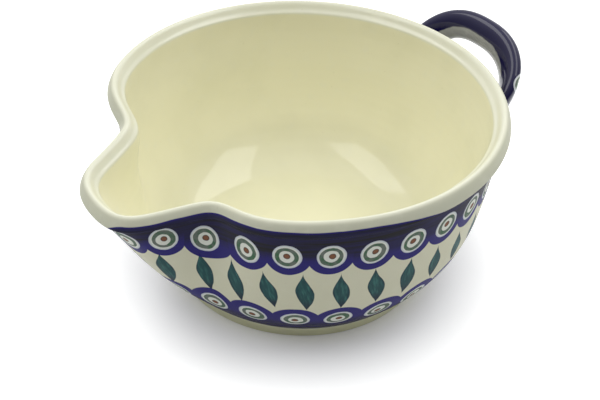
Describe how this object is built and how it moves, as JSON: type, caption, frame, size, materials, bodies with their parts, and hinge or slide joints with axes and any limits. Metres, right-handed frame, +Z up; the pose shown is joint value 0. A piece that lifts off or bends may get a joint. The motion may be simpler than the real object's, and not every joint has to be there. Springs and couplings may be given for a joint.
{
  "type": "batter bowl",
  "caption": "Round stoneware mixing bowl with a pulled pouring spout, a rolled lip and an arched loop handle.",
  "frame": {"origin": "on the surface the foot ring stands on, midway between the tip of the spout and the back of the handle, on the plane of symmetry", "axes": "+Z up, +X from the spout toward the handle, +Y to the right of a person who holds the handle with the spout pointing away"},
  "size_m": [0.2924, 0.2398, 0.1231],
  "materials": {
    "bowl_glaze": "clear gloss glaze over cream stoneware, stamped and painted in cobalt, green and rust outside",
    "handle_glaze": "clear gloss glaze over cobalt brushwork, with a bare cream inner face",
    "slip_glaze": "clear gloss glaze over cobalt brushwork"
  },
  "bodies": {
    "root": {"bowl_body": "bowl_glaze", "loop_handle": "handle_glaze", "left_root_slip": "slip_glaze", "right_root_slip": "slip_glaze"}
  },
  "joints": []
}
